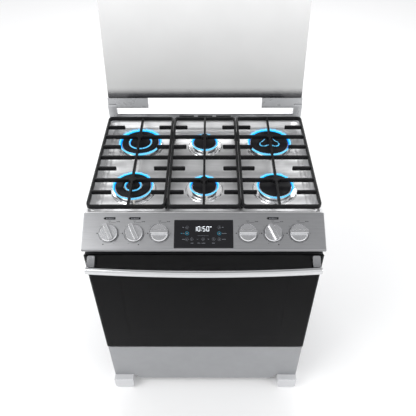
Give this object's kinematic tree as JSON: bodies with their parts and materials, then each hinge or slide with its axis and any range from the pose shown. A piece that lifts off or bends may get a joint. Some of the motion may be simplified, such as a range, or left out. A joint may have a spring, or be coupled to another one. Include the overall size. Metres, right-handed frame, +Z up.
{
  "type": "freestanding gas range",
  "caption": "Freestanding gas range with burners under cast grates, a hinged glass lid, a sloped panel with push-and-turn knobs, and an oven with a drop-down glass door.",
  "frame": {"origin": "on the floor, below the middle of the whole range's box with its lid open", "axes": "+Z up, +X to the right of a user who stands in front of the oven door, +Y from the door to the wall behind"},
  "size_m": [0.764, 0.8256, 1.5242],
  "materials": {
    "body_paint": "satin silver-grey paint",
    "frame_black": "semi-matt black enamel",
    "foot_plastic": "light grey moulded plastic",
    "stainless": "brushed from side to side",
    "panel_glass": "glossy black touch glass",
    "board": "printed circuit board",
    "pipe_steel": "zinc-grey pipe",
    "valve_brass": "machined",
    "tube_alloy": "drawn tube",
    "burner_alloy": "cast, machined",
    "ceramic": "glazed white",
    "cap_enamel": "matt black enamel",
    "grate_iron": "matt black enamel",
    "spindle_steel": "turned",
    "knob_metal": "satin silver finish",
    "oven_enamel": "vitreous enamel with fine specks",
    "wool": "mineral wool",
    "lamp_glass": "clear dome",
    "rack_chrome": "plated wire",
    "door_glass": "black printed, tinted glass",
    "window_glass": "clear heat glass",
    "gasket": "woven-faced seal",
    "handle_steel": "brushed along its length",
    "bracket_chrome": "polished",
    "hinge_steel": "zinc plated",
    "lid_glass": "pale grey coated glass with a dark printed edge band",
    "gland_plastic": "black nylon"
  },
  "bodies": {
    "root": {"side_panel_left": "body_paint", "side_panel_right": "body_paint", "rear_panel": "body_paint", "base_pan": "body_paint", "lower_front_panel": "body_paint", "lid_hinge_posts": "body_paint", "front_frame": "frame_black", "foot_front_left": "foot_plastic", "foot_front_right": "foot_plastic", "feet_rear": "foot_plastic", "cooktop": "stainless", "rear_trim": "stainless", "control_panel": "stainless", "control_glass": "panel_glass", "control_board": "board", "gas_manifold": "pipe_steel", "gas_valves": "valve_brass", "burner_tubes": "tube_alloy", "burner_heads": "burner_alloy", "oven_burner": "burner_alloy", "igniters": "ceramic", "burner_cap_front_left": "cap_enamel", "burner_cap_front_centre": "cap_enamel", "burner_cap_front_right": "cap_enamel", "burner_cap_rear_left": "cap_enamel", "burner_cap_rear_centre": "cap_enamel", "burner_cap_rear_right": "cap_enamel", "oven_liner": "oven_enamel", "oven_floor_plate": "oven_enamel", "oven_insulation": "wool", "oven_lamp": "lamp_glass", "rack_rails": "rack_chrome", "door_hinges": "hinge_steel", "screws": "hinge_steel", "cord_gland": "gland_plastic"},
    "oven_door": {"door_shell": "frame_black", "door_outer_glass": "door_glass", "door_inner_glass": "window_glass", "door_gasket": "gasket", "door_handle_bar": "handle_steel", "door_handle_brackets": "bracket_chrome"},
    "lid": {"lid_glass": "lid_glass", "lid_clamps": "body_paint"},
    "grate_left": {"grate_left": "grate_iron"},
    "grate_centre": {"grate_centre": "grate_iron"},
    "grate_right": {"grate_right": "grate_iron"},
    "rack_upper": {"oven_rack_upper": "rack_chrome"},
    "rack_lower": {"oven_rack_lower": "rack_chrome"},
    "spindle_1": {"spindle_1": "spindle_steel"},
    "knob_1": {"knob_1": "knob_metal"},
    "spindle_2": {"spindle_2": "spindle_steel"},
    "knob_2": {"knob_2": "knob_metal"},
    "spindle_3": {"spindle_3": "spindle_steel"},
    "knob_3": {"knob_3": "knob_metal"},
    "spindle_4": {"spindle_4": "spindle_steel"},
    "knob_4": {"knob_4": "knob_metal"},
    "spindle_5": {"spindle_5": "spindle_steel"},
    "knob_5": {"knob_5": "knob_metal"},
    "spindle_6": {"spindle_6": "spindle_steel"},
    "knob_6": {"knob_6": "knob_metal"}
  },
  "joints": [
    {"name": "oven_door_hinge", "type": "hinge", "parent": "root", "child": "oven_door", "pos_m": [0, -0.33684, 0.304], "axis": [1, 0, 0], "range_deg": [0, 90], "stiffness_Nm_per_rad": 8, "springref_deg": -20.05},
    {"name": "lid_hinge", "type": "hinge", "parent": "root", "child": "lid", "pos_m": [0, 0.30816, 0.969], "axis": [-1, 0, 0], "range_deg": [-101, 0]},
    {"name": "grate_left_lift", "type": "slide", "parent": "root", "child": "grate_left", "axis": [0, 0, 1], "range_m": [0, 0.15]},
    {"name": "grate_centre_lift", "type": "slide", "parent": "root", "child": "grate_centre", "axis": [0, 0, 1], "range_m": [0, 0.15]},
    {"name": "grate_right_lift", "type": "slide", "parent": "root", "child": "grate_right", "axis": [0, 0, 1], "range_m": [0, 0.15]},
    {"name": "rack_upper_slide", "type": "slide", "parent": "root", "child": "rack_upper", "axis": [0, -1, 0], "range_m": [0, 0.035]},
    {"name": "rack_lower_slide", "type": "slide", "parent": "root", "child": "rack_lower", "axis": [0, -1, 0], "range_m": [0, 0.035]},
    {"name": "knob_1_turn", "type": "hinge", "parent": "root", "child": "spindle_1", "pos_m": [-0.298, -0.30772, 0.88853], "axis": [0, -0.4772, 0.8788], "range_deg": [-205, 5]},
    {"name": "knob_1_push", "type": "slide", "parent": "spindle_1", "child": "knob_1", "axis": [0, 0.4772, -0.8788], "range_m": [0, 0.003], "stiffness_N_per_m": 1500, "springref_m": -0.003},
    {"name": "knob_2_turn", "type": "hinge", "parent": "root", "child": "spindle_2", "pos_m": [-0.2185, -0.30772, 0.88853], "axis": [0, -0.4772, 0.8788], "range_deg": [-205, 5]},
    {"name": "knob_2_push", "type": "slide", "parent": "spindle_2", "child": "knob_2", "axis": [0, 0.4772, -0.8788], "range_m": [0, 0.003], "stiffness_N_per_m": 1500, "springref_m": -0.003},
    {"name": "knob_3_turn", "type": "hinge", "parent": "root", "child": "spindle_3", "pos_m": [-0.139, -0.30772, 0.88853], "axis": [0, -0.4772, 0.8788], "range_deg": [-90, 120]},
    {"name": "knob_3_push", "type": "slide", "parent": "spindle_3", "child": "knob_3", "axis": [0, 0.4772, -0.8788], "range_m": [0, 0.003], "stiffness_N_per_m": 1500, "springref_m": -0.003},
    {"name": "knob_4_turn", "type": "hinge", "parent": "root", "child": "spindle_4", "pos_m": [0.139, -0.30772, 0.88853], "axis": [0, -0.4772, 0.8788], "range_deg": [-90, 120]},
    {"name": "knob_4_push", "type": "slide", "parent": "spindle_4", "child": "knob_4", "axis": [0, 0.4772, -0.8788], "range_m": [0, 0.003], "stiffness_N_per_m": 1500, "springref_m": -0.003},
    {"name": "knob_5_turn", "type": "hinge", "parent": "root", "child": "spindle_5", "pos_m": [0.2185, -0.30772, 0.88853], "axis": [0, -0.4772, 0.8788], "range_deg": [-205, 5]},
    {"name": "knob_5_push", "type": "slide", "parent": "spindle_5", "child": "knob_5", "axis": [0, 0.4772, -0.8788], "range_m": [0, 0.003], "stiffness_N_per_m": 1500, "springref_m": -0.003},
    {"name": "knob_6_turn", "type": "hinge", "parent": "root", "child": "spindle_6", "pos_m": [0.298, -0.30772, 0.88853], "axis": [0, -0.4772, 0.8788], "range_deg": [-90, 120]},
    {"name": "knob_6_push", "type": "slide", "parent": "spindle_6", "child": "knob_6", "axis": [0, 0.4772, -0.8788], "range_m": [0, 0.003], "stiffness_N_per_m": 1500, "springref_m": -0.003}
  ]
}
